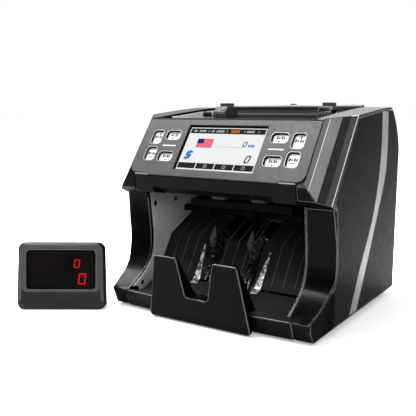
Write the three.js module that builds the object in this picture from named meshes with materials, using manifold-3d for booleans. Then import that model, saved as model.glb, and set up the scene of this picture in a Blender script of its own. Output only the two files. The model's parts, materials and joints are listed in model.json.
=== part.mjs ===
// Banknote counter with counterfeit detection, and its free-standing customer display.
// Millimetres. Machine frame: +X to the operator's right, +Y from the front foot line to the
// back, +Z up from the counter top.
import * as THREE from 'three';
import { mergeVertices } from 'three/addons/utils/BufferGeometryUtils.js';
import Module from 'manifold-3d';

const wasm = await Module();
wasm.setup();

// ---------------------------------------------------------------- driving dimensions
const MACHINE_AT = [42.3, -72.74, 0]; // puts the origin under the middle of the whole set
const DISPLAY_AT = [-158.5, -58.2, 0]; // customer display's front foot, in the machine frame
const DISPLAY_YAW = 33.4; // degrees

const HALF_WIDTH = 131; // outside of the side covers
const WALL = 3; // moulded wall thickness
const GAP = 0.4; // working gap between neighbouring pieces
const INSIDE = 96.3; // half width between the chassis plates
const CHASSIS_INNER = 96.8;
const CHASSIS_OUTER = 98.3;
const COVER_INNER = 99.8; // inner face of a side cover
const RIM_Z = 22.4; // top of the tray's front rim
const RIM_HALF = 104.2; // half width of the tray's front wall
const FRONT_RAKE = 8.7; // the front wall leans forward by this much over its height
const FRONT_FOOT = -2.5; // y of the front wall's foot
const FRONT_Y = FRONT_FOOT - FRONT_RAKE; // y of the front edge of the rim
const BOTTOM_Z = 2.5; // underside of the machine, held up by its feet
const PANEL_TILT = 53.9; // control panel, degrees from level
const PANEL_FOOT = [7.7, 161.6]; // y, z of the panel's lower screen line
const HOUSING_HALF = 98.9;
const OVERLAY_HALF = 107;
const OVERLAY_TOP = 64.2; // up the slope of the control panel
const OVERLAY_THICK = 1.5;
const BED = -1.8; // housing surface under the overlay, out of the panel plane
const STACKER_AXIS = [76.5, 46]; // y, z
const FEED_AXIS = [94, 128];
const PICKUP_AXIS = [112, 154];
const RETARD_AXIS = [68, 132.5];
const DELIVERY_AXIS = [100, 104];
const MOTOR_AXIS = [165, 40];
const SHAFT_R = 4;

// ---------------------------------------------------------------- materials
const finish = (color, roughness, metalness = 0) => ({ color, roughness, metalness });
const GLOSS_BLACK = finish(0x141415, 0.22);
const SATIN_BLACK = finish(0x1c1c1e, 0.45);
const DARK_GREY = finish(0x2b2b2d, 0.5);
const PEWTER = finish(0x5d5e61, 0.4, 0.4);
const SILVER = finish(0x9b9da0, 0.35, 0.6);
const KEY_WHITE = finish(0xe4e4e2, 0.4);
const ZINC = finish(0x9a9c9e, 0.45, 0.8);
const BRIGHT_STEEL = finish(0xd2d4d6, 0.25, 1);
const RUBBER = finish(0x1a1a1a, 0.85);
const BELT = finish(0x202020, 0.9);
const BOARD = finish(0x14502c, 0.6);
const LCD = finish(0xf2f4f6, 0.2);
const SMOKED = finish(0x0c0a0b, 0.1);

// ---------------------------------------------------------------- solid helpers
const rad = (degrees) => (degrees * Math.PI) / 180;
const shapeOf = (points) => new THREE.Shape(points.map(([a, b]) => new THREE.Vector2(a, b)));

function solid(geometry) {
  const bare = geometry.clone();
  bare.deleteAttribute('normal');
  bare.deleteAttribute('uv');
  const welded = mergeVertices(bare, 1e-5);
  const mesh = new wasm.Mesh({
    numProp: 3,
    vertProperties: new Float32Array(welded.attributes.position.array),
    triVerts: new Uint32Array(welded.index.array),
  });
  return new wasm.Manifold(mesh);
}

function geometryOf(manifold) {
  const mesh = manifold.getMesh();
  const geometry = new THREE.BufferGeometry();
  geometry.setAttribute('position', new THREE.BufferAttribute(mesh.vertProperties, 3));
  geometry.setIndex(new THREE.BufferAttribute(mesh.triVerts, 1));
  geometry.computeVertexNormals();
  return geometry;
}

// A flat outline pushed along one axis: its two coordinates map to the two named directions.
function extrude(points, depth, across, up, along, offset = 0) {
  const geometry = new THREE.ExtrudeGeometry(shapeOf(points), { depth, bevelEnabled: false });
  geometry.translate(0, 0, offset);
  const basis = new THREE.Matrix4().makeBasis(across, up, along);
  return solid(geometry.applyMatrix4(basis));
}

const X = new THREE.Vector3(1, 0, 0);
const Y = new THREE.Vector3(0, 1, 0);
const Z = new THREE.Vector3(0, 0, 1);
const prismX = (yz, x0, x1) => extrude(yz, x1 - x0, Y, Z, X, x0);
const prismY = (xz, y0, y1) => extrude(xz, y1 - y0, X, Z, Y.clone().negate(), -y1);
const prismZ = (xy, z0, z1) => extrude(xy, z1 - z0, X, Y, Z, z0);

const rectangle = (a0, a1, b0, b1) => [[a0, b0], [a1, b0], [a1, b1], [a0, b1]];
const box = (x0, x1, y0, y1, z0, z1) => prismZ(rectangle(x0, x1, y0, y1), z0, z1);
const mirror = (side, a, b) => (side > 0 ? [a, b] : [-b, -a]);

function sideBox(side, x0, x1, y0, y1, z0, z1) {
  const [a, b] = mirror(side, x0, x1);
  return box(a, b, y0, y1, z0, z1);
}

function sidePrism(side, yz, x0, x1) {
  const [a, b] = mirror(side, x0, x1);
  return prismX(yz, a, b);
}

function rodX(radius, x0, x1, [y, z], segments = 20) {
  const rod = new THREE.CylinderGeometry(radius, radius, x1 - x0, segments);
  rod.rotateZ(Math.PI / 2);
  return solid(rod.translate((x0 + x1) / 2, y, z));
}

function rodZ(radius, z0, z1, [x, y], segments = 24) {
  const rod = new THREE.CylinderGeometry(radius, radius, z1 - z0, segments);
  rod.rotateX(Math.PI / 2);
  return solid(rod.translate(x, y, (z0 + z1) / 2));
}

function roundedRectangle(a0, a1, b0, b1, r, steps = 3) {
  const centres = [[a1 - r, b0 + r, -90], [a1 - r, b1 - r, 0], [a0 + r, b1 - r, 90], [a0 + r, b0 + r, 180]];
  return centres.flatMap(([a, b, start]) =>
    Array.from({ length: steps + 1 }, (_, i) => {
      const angle = rad(start + (90 * i) / steps);
      return [a + r * Math.cos(angle), b + r * Math.sin(angle)];
    }));
}

function spline(points, divisions) {
  const curve = new THREE.SplineCurve(points.map(([a, b]) => new THREE.Vector2(a, b)));
  return curve.getPoints(divisions).map((p) => [p.x, p.y]);
}

// Moves each side of an anticlockwise outline inwards by d.
function inset(points, d) {
  const count = points.length;
  return points.map((p, i) => {
    const before = points[(i + count - 1) % count];
    const after = points[(i + 1) % count];
    const n1 = leftNormal(before, p);
    const n2 = leftNormal(p, after);
    const k = d / (1 + n1[0] * n2[0] + n1[1] * n2[1]);
    return [p[0] + (n1[0] + n2[0]) * k, p[1] + (n1[1] + n2[1]) * k];
  });
}

function leftNormal(from, to) {
  const length = Math.hypot(to[0] - from[0], to[1] - from[1]);
  return [-(to[1] - from[1]) / length, (to[0] - from[0]) / length];
}

const shift = (points, da, db) => points.map(([a, b]) => [a + da, b + db]);
const union = (solids) => solids.reduce((a, b) => a.add(b));

// ---------------------------------------------------------------- scene helpers
const part = new THREE.Group();
const machine = new THREE.Group();
machine.position.set(...MACHINE_AT);
part.add(machine);

const panel = new THREE.Group(); // x across, y up the slope, z out of the control panel
panel.position.set(0, ...PANEL_FOOT);
panel.rotation.x = rad(PANEL_TILT);
machine.add(panel);

function addNode(name, manifold, look, parent = machine) {
  const mesh = new THREE.Mesh(geometryOf(manifold), new THREE.MeshStandardMaterial(look));
  mesh.name = name;
  parent.add(mesh);
}

const SIDES = [['left', -1], ['right', 1]];

// ---------------------------------------------------------------- outer form of the machine
const slopeY = Math.cos(rad(PANEL_TILT));
const slopeZ = Math.sin(rad(PANEL_TILT));
// y, z of a point v up the panel slope and n out of it.
const onPanel = (v, n = 0) => [
  PANEL_FOOT[0] + v * slopeY - n * slopeZ,
  PANEL_FOOT[1] + v * slopeZ + n * slopeY,
];

const COLUMN = spline(
  [[FRONT_Y, RIM_Z], [3.4, 30.4], [17.8, 40.2], [28.9, 53.2], [33.2, 75], [29.4, 110.6], [26.9, 128.5]], 14);
const TOP = spline([[50, 215.8], [83, 219.5], [115, 222.7], [151, 226], [182, 228]], 6);
const BACK = spline([[187, 227.4], [201, 214], [216, 189], [229, 136], [231, 93], [227, 24]], 14);
const PROFILE = [
  [222, BOTTOM_Z + 9], [208, BOTTOM_Z], [FRONT_FOOT + 1, BOTTOM_Z], ...COLUMN, [5, 137.8], [2.4, 153.8],
  onPanel(66), ...TOP, ...BACK,
].reverse();

// Plan of the right side from front to back: the columns draw in and have a chamfered corner,
// and the shoulders above them run straight.
const SHOULDER_Z = 128.5;
const COLUMN_PLAN = [
  [122.2, -25], [122.2, FRONT_Y], [124.7, 3.5], [126.4, 17], [128.4, 26], [HALF_WIDTH, 31.5],
];
const SHOULDER_PLAN = [[HALF_WIDTH, -25]];
const REAR_PLAN = [[HALF_WIDTH, 219], [128, 227], [121, 231.5]];
const planOutline = (front, d) => {
  const right = [...front, ...REAR_PLAN].map(([x, y]) => [x - d, y]);
  return [...right, ...right.map(([x, y]) => [-x, y]).reverse()];
};
const planForm = (d) => prismZ(planOutline(COLUMN_PLAN, d), -5, SHOULDER_Z)
  .add(prismZ(planOutline(SHOULDER_PLAN, d), SHOULDER_Z, 260));
const TUCK = 9.6; // the sides draw in by this much at the bottom
const section = (d) => {
  const w = HALF_WIDTH - d;
  return [[-w + TUCK, 0], [w - TUCK, 0], [w, 10], [w, 240], [-w, 240], [-w, 10]];
};

// Shoulders beside the control panel: u across, n out of the panel.
const SHOULDER = [[107.3, 0.3], [112, -4], [120, -12.5], [121, -14.5], [126.2, -18.3], [131.5, -23.9]];
const hood = (d) => {
  const edge = [[107.3, 0], ...SHOULDER].map(([u, n]) => [u - d * 0.4, n - d]);
  const right = [...edge, [140, -60], [140, -400]];
  return panelPrismV([...right, ...right.map(([u, n]) => [-u, n]).reverse()]);
};

// Outline in u and n, run along the panel's slope through the whole machine.
function panelPrismV(points) {
  const geometry = new THREE.ExtrudeGeometry(shapeOf(points), { depth: 900, bevelEnabled: false });
  const v = new THREE.Vector3(0, slopeY, slopeZ);
  const n = new THREE.Vector3(0, -slopeZ, slopeY);
  const basis = new THREE.Matrix4().makeBasis(X, n, v.clone().negate());
  basis.setPosition(0, PANEL_FOOT[0] + 450 * slopeY, PANEL_FOOT[1] + 450 * slopeZ);
  return solid(geometry.applyMatrix4(basis));
}

function outerForm(d = 0, profile = PROFILE) {
  return prismX(profile, -140, 140)
    .intersect(planForm(d))
    .intersect(prismY(section(d), -40, 260))
    .intersect(hood(d));
}

const FORM = outerForm();
const CORE = outerForm(2 * WALL + GAP, inset(PROFILE, WALL));
// The form drawn in at its sides only, for what lies behind a side panel.
const drawnIn = (d) => outerForm(d, inset(PROFILE, -2));

// ---------------------------------------------------------------- side covers, panels, trim
const PANEL_BACK = WALL; // thickness of a side panel
const sidePanelOutline = (d) => [
  [FRONT_Y + 4.2 - d, -5], [FRONT_Y + 4.2 - d, 24], ...shift(COLUMN.slice(1, -1), 3.5 - d, 0),
  [30 - d, SHOULDER_Z + 0.5], [25 - d, 133.6], [77.5 - d, 211.5 + d], [79.5, 215.4 + d], [115, 219.4 + d],
  [151, 222.8 + d], [181, 224.6 + d], [260, 224.6 + d], [260, -5],
].reverse();

const STRIPE_FRONT = spline(
  [[73, 12], [100, 57], [128, 96], [144, 129], [152.7, 163], [155, 191], [153, 223.2]], 14);
const STRIPE_REAR = spline(
  [[173, 223.2], [176, 181], [171.5, 149.5], [152, 112], [122, 59], [93, 12]], 14);
const STRIPE = [...STRIPE_FRONT, ...STRIPE_REAR].reverse();

function sideCover(side) {
  const behindPanel = drawnIn(PANEL_BACK + GAP);
  const panelSpace = sidePrism(side, sidePanelOutline(GAP), 60, 140).subtract(behindPanel);
  const trayWall = sideBox(side, 90, RIM_HALF + GAP, -25, 7.5, 0, RIM_Z + GAP);
  const overlayBed = panelSlab(side, 90, OVERLAY_HALF + 0.8, -20, OVERLAY_TOP + GAP, BED, 5);
  return FORM
    .intersect(sideBox(side, COVER_INNER, 140, -40, 260, -5, 260))
    .subtract(panelSpace)
    .subtract(CORE)
    .subtract(trayWall)
    .subtract(overlayBed);
}

function sidePanel(side) {
  const groove = sidePrism(side, inset(STRIPE, -0.3), HALF_WIDTH - 1.6, 140);
  return FORM
    .intersect(sidePrism(side, sidePanelOutline(0), 60, 140))
    .subtract(drawnIn(PANEL_BACK))
    .subtract(groove);
}

// A block given in the panel's own directions, placed in the machine frame.
function panelSlab(side, u0, u1, v0, v1, n0, n1) {
  const [a, b] = mirror(side, u0, u1);
  const slab = new THREE.BoxGeometry(b - a, v1 - v0, n1 - n0);
  slab.translate((a + b) / 2, (v0 + v1) / 2, (n0 + n1) / 2);
  slab.rotateX(rad(PANEL_TILT));
  return solid(slab.translate(0, ...PANEL_FOOT));
}

for (const [label, side] of SIDES) {
  addNode(`side_cover_${label}`, sideCover(side), GLOSS_BLACK);
  addNode(`side_panel_${label}`, sidePanel(side), SATIN_BLACK);
  addNode(`trim_strip_${label}`, sidePrism(side, STRIPE, HALF_WIDTH - 1.3, HALF_WIDTH), SILVER);
}

// ---------------------------------------------------------------- base tray, bill stop, feet
const RIM_BOW = 3; // the tray's front bulges forward by this much in the middle
const FLOOR_REAR = [39, 32];

function trayFrontWall() {
  const steps = 12;
  const bow = Array.from({ length: steps + 1 }, (_, i) => {
    const t = (2 * i) / steps - 1;
    return [t * RIM_HALF, -FRONT_RAKE - RIM_BOW * (1 - t * t)];
  });
  const wall = new THREE.ExtrudeGeometry(shapeOf([...bow, [RIM_HALF, -2.6], [-RIM_HALF, -2.6]]), {
    depth: RIM_Z - BOTTOM_Z,
    bevelEnabled: false,
  });
  const rake = FRONT_RAKE / RIM_Z;
  const lean = new THREE.Matrix4().makeShear(0, 0, 0, 0, 0, -rake);
  wall.translate(0, 0, BOTTOM_Z).applyMatrix4(lean);
  return solid(wall.translate(0, FRONT_RAKE + FRONT_FOOT, 0));
}

function baseTray() {
  const floorSection = [[-5, 17], [17, 17], [40.4, 29.6], FLOOR_REAR, [16, 19.6], [-5, 19.6]];
  const floor = prismX(floorSection, -INSIDE, INSIDE);
  const sill = box(-RIM_HALF, RIM_HALF, -5, 3.4, 17, 19.6);
  const pan = box(-INSIDE, INSIDE, 0, 219, BOTTOM_Z, BOTTOM_Z + WALL);
  const wheelRelief = SIDES.map(([, side]) => sideBox(side, 17, 33, 48, 106, 0, 10));
  return union([trayFrontWall(), floor, sill, pan]).subtract(union(wheelRelief));
}

const STOP_FOOT = [-16.5, 1.5]; // y, z of the stop's front face at its foot
const STOP_TOP = [-24.7, 72];
const STOP_WALL = 2.5;

// Outline with rounded corners; each point is a, b and the reach of the rounding.
function rounded(points, steps = 4) {
  const towards = ([a, b], [c, d], reach) => {
    const share = reach / Math.hypot(c - a, d - b);
    return new THREE.Vector2(a + (c - a) * share, b + (d - b) * share);
  };
  return points.flatMap((corner, i) => {
    const before = points[(i + points.length - 1) % points.length];
    const after = points[(i + 1) % points.length];
    const [a, b, reach] = corner;
    const bend = new THREE.QuadraticBezierCurve(
      towards(corner, before, reach), new THREE.Vector2(a, b), towards(corner, after, reach));
    return bend.getPoints(steps).map((p) => [p.x, p.y]);
  });
}

// W shape of the stop: two lobes with a finger notch between them.
function stopOutline(d) {
  const half = [
    [63.4 - d, STOP_FOOT[1], 5], [51 - d, STOP_TOP[1] - d, 2.5], [22.4 + d, STOP_TOP[1] - d, 2.5],
    [13.8 + d, 30 - d, 4],
  ];
  return rounded([...half, ...half.map(([x, z, reach]) => [-x, z, reach]).reverse()]);
}

function billStop() {
  const side = [
    STOP_FOOT, [-11, 1.5], [-15.6, RIM_Z + 0.9], [1, RIM_Z + 0.9], [1, 26], [-19, 69], [-20.8, 72], STOP_TOP,
  ];
  const hollow = [[-13.6, 2.5], [-14.8, RIM_Z - 1], [10, RIM_Z - 1], [10, 80], [-22.8, 80]];
  const body = prismX(side, -70, 70).intersect(prismY(stopOutline(0), -60, 40));
  const pocket = prismX(hollow, -70, 70).intersect(prismY(stopOutline(STOP_WALL), -60, 40));
  return body.subtract(pocket);
}

addNode('base_tray', baseTray(), GLOSS_BLACK);
addNode('bill_stop', billStop(), GLOSS_BLACK);
for (const [label, side] of SIDES) {
  for (const [end, y] of [['front', 24], ['rear', 202]]) {
    addNode(`foot_${end}_${label}`, rodZ(9, 0, BOTTOM_Z - 0.3, [side * 84, y], 20), RUBBER);
  }
}

// ---------------------------------------------------------------- stacker: plate, strips, wheels
const PLATE_FOOT = [41, 33.4];
const PLATE_KNEE = [68, 76];
const PLATE_REAR = [136, 108.4];
const PLATE_THICK = 2.5;
const WHEEL_X = 25;
const WHEEL_R = 38;
const SLOT_HALF = 7;
const SLOT_REAR = 112;
const RIB_PITCH = 13.6;
const CHEEK = [[61, 63], [70, 76], [68.4, 91], [66.8, 91], [54.4, 77.4]]; // fin at the left of each slot

// Bent sheet with a slot for each wheel, open at the foot, and low ribs for the notes to slide on.
function stackerPlate() {
  const under = [[PLATE_FOOT[0] + 3, PLATE_FOOT[1]], [70.4, 74.2], [137, 106]];
  const plate = prismX([PLATE_FOOT, ...under, PLATE_REAR, PLATE_KNEE], -INSIDE, INSIDE);
  const slots = SIDES.map(([, side]) =>
    sideBox(side, WHEEL_X - SLOT_HALF, WHEEL_X + SLOT_HALF, 38, SLOT_REAR, 30, 120));
  const ribs = [];
  for (let i = -6; i <= 6; i += 1) {
    const x = i * RIB_PITCH;
    if (Math.abs(i) !== 2 && Math.abs(i) !== 3) ribs.push(prismX(ribOutline(), x - 0.5, x + 0.5));
  }
  const cheeks = [-WHEEL_X, WHEEL_X].map((x) => prismX(CHEEK, x - SLOT_HALF - 1.6, x - SLOT_HALF - 0.4));
  return union([plate, ...ribs]).subtract(union(slots)).add(union(cheeks));
}

function ribOutline() {
  const low = [[44, 37], [68.8, 76], [132, 106]];
  const high = [[131.4, 107.2], [67.6, 76.9], [42.8, 37.4]];
  return [...low, ...high];
}

// Bright strip beside each wheel: wide at its foot, which bends onto the tray, and running to a point.
function wearStrip(side) {
  const along = (s, lift) => {
    const length = Math.hypot(PLATE_KNEE[0] - PLATE_FOOT[0], PLATE_KNEE[1] - PLATE_FOOT[1]);
    const y = (PLATE_KNEE[0] - PLATE_FOOT[0]) / length;
    const z = (PLATE_KNEE[1] - PLATE_FOOT[1]) / length;
    return [PLATE_FOOT[0] + s * y - lift * z, PLATE_FOOT[1] + s * z + lift * y];
  };
  const strip = sidePrism(side, [
    along(1, 0.4), along(42, 0.4), along(42, 1.6), along(1, 1.6), [38.4, 33.5], [32.2, 30.2], [32.8, 29.2],
    [39, 32.6],
  ], 30, 46);
  const taper = [[33.6, 25], [43.5, 25], [43.5, 72], [42.3, 72]].map(([x, z]) => [side * x, z]);
  return strip.intersect(prismY(side > 0 ? taper : taper.reverse(), 0, 120));
}

// Hub with soft curved vanes.
function impeller(centreX) {
  const vanes = 14;
  const [y0, z0] = STACKER_AXIS;
  const hub = rodX(13, centreX - 5, centreX + 5, STACKER_AXIS, 20);
  const blades = Array.from({ length: vanes }, (_, i) => {
    const outline = vaneOutline((360 * i) / vanes).map(([a, b]) => [a + y0, b + z0]);
    return prismX(outline, centreX - 4.6, centreX + 4.6);
  });
  return union([hub, ...blades]).subtract(rodX(SHAFT_R + 0.3, centreX - 6, centreX + 6, STACKER_AXIS, 16));
}

function vaneOutline(turn) {
  const spine = [[11, 0], [22, 6], [31, 14], [WHEEL_R * 0.87, WHEEL_R * 0.48]];
  const width = [1.6, 1.2, 0.9, 0.7];
  const above = spine.map(([r, t], i) => [r, t + width[i]]);
  const below = spine.map(([r, t], i) => [r, t - width[i]]);
  const c = Math.cos(rad(turn));
  const s = Math.sin(rad(turn));
  return [...below, ...above.reverse()].map(([a, b]) => [a * c - b * s, a * s + b * c]);
}

const PULLEY_X0 = 101.6;
const PULLEY_STEP = 4.4;

// Steel shaft through both chassis plates, with an optional pulley on its left end.
function shaft(axis, pulleyRadius, lane) {
  const rod = rodX(SHAFT_R, -PULLEY_X0 - PULLEY_STEP * (lane + 1) - 1, 100.5, axis);
  if (!pulleyRadius) return rod;
  const start = -PULLEY_X0 - PULLEY_STEP * (lane + 1);
  return rod.add(rodX(pulleyRadius, start + 0.6, start + PULLEY_STEP - 0.6, axis, 28));
}

const STACKER_PULLEY_R = 12;
const FEED_PULLEY_R = 14;
const MOTOR_PULLEY_R = 7;
const FEED_LANE = 0;
const STACKER_LANE = 1;

addNode('stacker_plate', stackerPlate(), GLOSS_BLACK);
addNode('stacker_shaft', shaft(STACKER_AXIS, STACKER_PULLEY_R, STACKER_LANE), BRIGHT_STEEL);
for (const [label, side] of SIDES) {
  addNode(`wear_strip_${label}`, wearStrip(side), BRIGHT_STEEL);
  addNode(`impeller_${label}`, impeller(side * WHEEL_X), RUBBER);
}

// ---------------------------------------------------------------- chassis plates
const CHASSIS_FRONT = shift(COLUMN.slice(1), 1.7, 0.6).filter(([, z]) => z < 127);
const CHASSIS = [
  ...CHASSIS_FRONT, [29, 128.6], [34, 133.5], [38, 134], [56, 158], [73.5, 190], [73.5, 216.2], [108, 219.7],
  [137, 222.4], [186, 225], [186, 190], [205, 180], [218, 120], [218, 40], [210, 8], [10, 8], [4.4, 24],
].reverse();
const GUIDE_STUD = { at: [140, 219.4], radius: 3.3, from: 83 }; // y, z; it stops the note guide's travel

function chassisPlate(side) {
  const plate = sidePrism(side, CHASSIS, CHASSIS_INNER, CHASSIS_OUTER);
  const bores = [STACKER_AXIS, FEED_AXIS, PICKUP_AXIS, DELIVERY_AXIS]
    .map((axis) => rodX(SHAFT_R + 0.5, ...mirror(side, 90, 110), axis, 16));
  const retard = rodX(SHAFT_R + 0.5, ...mirror(side, 90, 110), RETARD_AXIS, 16);
  const motor = rodX(10, ...mirror(side, 90, 110), MOTOR_AXIS, 20);
  const lightening = [[38, 115.9, 3.3], [77.5, 117.3, 2.8], [12.2, 26.5, 2.8]]
    .map(([y, z, r]) => rodX(r, ...mirror(side, 90, 110), [y, z], 14));
  const stud = rodX(GUIDE_STUD.radius, ...mirror(side, GUIDE_STUD.from, CHASSIS_OUTER), GUIDE_STUD.at, 16);
  return plate.subtract(union([...bores, retard, motor, ...lightening])).add(stud);
}

for (const [label, side] of SIDES) addNode(`chassis_plate_${label}`, chassisPlate(side), ZINC);

// ---------------------------------------------------------------- control housing and panel
const SCREEN = { half: 49.3, bottom: -0.5, top: 57 };
const KEYS = [
  ['print', 57, 75.5, 37, 48.7], ['mode', 57, 75.5, 9, 20.9],
  ['batch', 81, 94.5, 31, 48.7], ['clear', 81, 94.5, 9, 26.5],
]; // name, and the opening's extent across and up the slope
const keyHole = (side, [, u0, u1, v0, v1], d, chamfer) => {
  const [a, b] = mirror(side, u0 + d, u1 - d);
  return roundedRectangle(a, b, v0 + d, v1 - d, chamfer, 1);
};

function toMachine(manifold) {
  const geometry = geometryOf(manifold);
  geometry.rotateX(rad(PANEL_TILT));
  return solid(geometry.translate(0, ...PANEL_FOOT));
}

function controlOverlay() {
  const outline = [
    [-80, -9.3], [80, -9.3], [81.5, -7.2], [99, -7.2], [104.5, -5], [OVERLAY_HALF, 1],
    [OVERLAY_HALF, OVERLAY_TOP], [-OVERLAY_HALF, OVERLAY_TOP], [-OVERLAY_HALF, 1], [-104.5, -5],
    [-99, -7.2], [-81.5, -7.2],
  ];
  const window = prismZ(rectangle(-SCREEN.half, SCREEN.half, SCREEN.bottom, SCREEN.top), -5, 5);
  const holes = SIDES.flatMap(([, side]) => KEYS.map((key) => prismZ(keyHole(side, key, 0, 2.4), -5, 5)));
  return prismZ(outline, -OVERLAY_THICK, 0).subtract(union([window, ...holes]));
}

const NOTCH_HALF = 73.8;

function controlHousing() {
  const outer = [
    [5.7, 134], [2.4, 153], onPanel(-9.4, BED), onPanel(OVERLAY_TOP + GAP, BED),
    onPanel(OVERLAY_TOP + GAP, -0.2), [49, 215], [69.5, 214.6], [70, 205], [50, 155], [30, 135.6],
    [27, 130.5],
  ].reverse();
  const cavity = [
    [9.5, 145], [8.2, 150.5], onPanel(-6, BED - WALL), onPanel(58, BED - WALL), [51, 210.6], [66, 211],
    [90, 211], [90, 180], [42, 138], [30, 138],
  ].reverse();
  const notch = [[-5, 125], [-5, 140.1], [10, 139.4], [34, 129]].reverse();
  const screenHole = prismZ(rectangle(-52.5, 52.5, -4.2, 60.4), -8, 5);
  const keyHoles = SIDES.flatMap(([, side]) =>
    KEYS.map((key) => prismZ(keyHole(side, key, 0, 2.4), -8, 5)));
  return prismX(outer, -HOUSING_HALF, HOUSING_HALF)
    .subtract(prismX(cavity, -HOUSING_HALF + WALL, HOUSING_HALF - WALL))
    .subtract(prismX(notch, -NOTCH_HALF, NOTCH_HALF))
    .subtract(toMachine(union([screenHole, ...keyHoles])));
}

function screenFrame() {
  const tray = prismZ(rectangle(-51.8, 51.8, -3.4, 59.8), -7, -1.9);
  return tray.subtract(prismZ(rectangle(-47.9, 47.9, 0.9, 55.6), -5.4, 0));
}

function keyCap(side, key) {
  const cap = prismZ(keyHole(side, key, 0.4, 2.2), -5.1, -2.2);
  const flange = prismZ(keyHole(side, key, -1, 2.4), -6.3, -5.1);
  return cap.add(flange);
}

function keyBoard() {
  const board = rectangle(-94.5, 94.5, 4, 54);
  return prismZ(board, -9.8, -8.2);
}

addNode('control_housing', controlHousing(), GLOSS_BLACK);
addNode('control_overlay', controlOverlay(), PEWTER, panel);
addNode('screen_frame', screenFrame(), GLOSS_BLACK, panel);
addNode('screen_panel', prismZ(rectangle(-47.5, 47.5, 1.3, 55.2), -5, -2.6), LCD, panel);
for (const [label, side] of SIDES) {
  for (const key of KEYS) addNode(`key_${key[0]}_${label}`, keyCap(side, key), KEY_WHITE, panel);
}
addNode('key_board', keyBoard(), BOARD, panel);

// ---------------------------------------------------------------- hopper
const FLOOR_FRONT = [97, 161];
const HOPPER_FLOOR_REAR = [183.5, 190];

function hopperFloor() {
  const plate = [
    FLOOR_FRONT, [FLOOR_FRONT[0] + 0.8, FLOOR_FRONT[1] - 2.4], [184.3, 187.6], HOPPER_FLOOR_REAR,
  ];
  const slots = SIDES.map(([, side]) => sideBox(side, 16, 36, 99, 126, 150, 190));
  return prismX(plate, -INSIDE, INSIDE).subtract(union(slots));
}

function hopperBack() {
  const wall = [
    [185, 188], [185, 226], [183, 227], [183, 229.4], [187, 231], [190.5, 230.4], [203.5, 212.8],
    [208.6, 205.4], [206.2, 203.8], [201.4, 211], [188, 226.6], [188, 188],
  ].reverse();
  const ridges = [196, 203, 210, 217].map((z) => box(-INSIDE + 4, INSIDE - 4, 184, 185.5, z, z + 3));
  return union([prismX(wall, -INSIDE, INSIDE), ...ridges]).subtract(knobBore());
}

const KNOB_SLOPE = Math.atan2(13, 17.6); // outward direction of the rear slope, from level
const KNOB_SEAT = [197.6, 221]; // y, z on the rear slope

function knobSolid(radius, from, to, segments) {
  const knob = new THREE.CylinderGeometry(radius, radius, to - from, segments);
  knob.translate(0, (from + to) / 2, 0);
  knob.rotateX(KNOB_SLOPE);
  return solid(knob.translate(0, ...KNOB_SEAT));
}

const knobBore = () => knobSolid(3.5, -12, 12, 16);

// Thickness adjuster: grooved head on a short screw.
function adjustKnob() {
  const grooves = Array.from({ length: 12 }, (_, i) => {
    const angle = (i * Math.PI) / 6;
    const cutter = new THREE.CylinderGeometry(1.1, 1.1, 20, 6);
    cutter.translate(9.6 * Math.cos(angle), 6, 9.6 * Math.sin(angle));
    cutter.rotateX(KNOB_SLOPE);
    return solid(cutter.translate(0, ...KNOB_SEAT));
  });
  return knobSolid(9, 1, 8, 24).add(knobSolid(3, -8, 2, 16)).subtract(union(grooves));
}

// Sheet that closes the hopper's front and leads notes down to the feed rollers.
function feedThroat() {
  const front = [[72, 213.6], [91, 166], [84, 152], [81.6, 152.6], [88.2, 166], [71.2, 207]];
  return prismX(front, -INSIDE, INSIDE);
}

const GUIDE_INNER = 61; // inner face of a note guide at rest
const GUIDE_THICK = 17.5;
const GUIDE_FRONT = 134;
const GUIDE_REAR = 164;

// Note guide that slides across the hopper floor, with a finger grip on top. Its outer side is
// open, so that the stud on the chassis plate runs into it.
function noteGuide(side) {
  const wall = [
    [GUIDE_FRONT, 174], [GUIDE_REAR, 184.1], [GUIDE_REAR, 226.5], [GUIDE_REAR - 3, 228.5],
    [GUIDE_FRONT + 5, 228.5], [GUIDE_FRONT, 221],
  ].reverse();
  const body = sidePrism(side, wall, GUIDE_INNER, GUIDE_INNER + GUIDE_THICK);
  const grip = sideBox(side, GUIDE_INNER + 3, GUIDE_INNER + 13, 142, 160, 228, 233);
  const ribs = [0, 1, 2, 3].map((i) => {
    const x = GUIDE_INNER + 2.6 + 3.6 * i;
    return sideBox(side, x, x + 1.4, GUIDE_FRONT - 1.2, GUIDE_FRONT + 1, 180, 220);
  });
  const hollow = sideBox(side, GUIDE_INNER + 3, GUIDE_INNER + GUIDE_THICK + 1, 136, 161, 192, 224.5);
  return union([body, grip, ...ribs]).subtract(hollow);
}

addNode('hopper_floor', hopperFloor(), SATIN_BLACK);
addNode('hopper_back', hopperBack(), DARK_GREY);
addNode('feed_throat', feedThroat(), SATIN_BLACK);
addNode('adjust_knob', adjustKnob(), SATIN_BLACK);
for (const [label, side] of SIDES) addNode(`note_guide_${label}`, noteGuide(side), DARK_GREY);

// ---------------------------------------------------------------- feed train
// Rubber rollers joined by a thin sleeve that runs on the shaft.
function roller(axis, radius, lands, sleeveRadius, halfLength) {
  const sleeve = rodX(sleeveRadius, -halfLength, halfLength, axis, 20);
  const tyres = lands.map(([x0, x1]) => rodX(radius, x0, x1, axis, 32));
  return union([sleeve, ...tyres]).subtract(rodX(SHAFT_R + 0.3, -120, 120, axis, 16));
}

const CENTRE_LANDS = [[-34, -18], [18, 34]];

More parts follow.
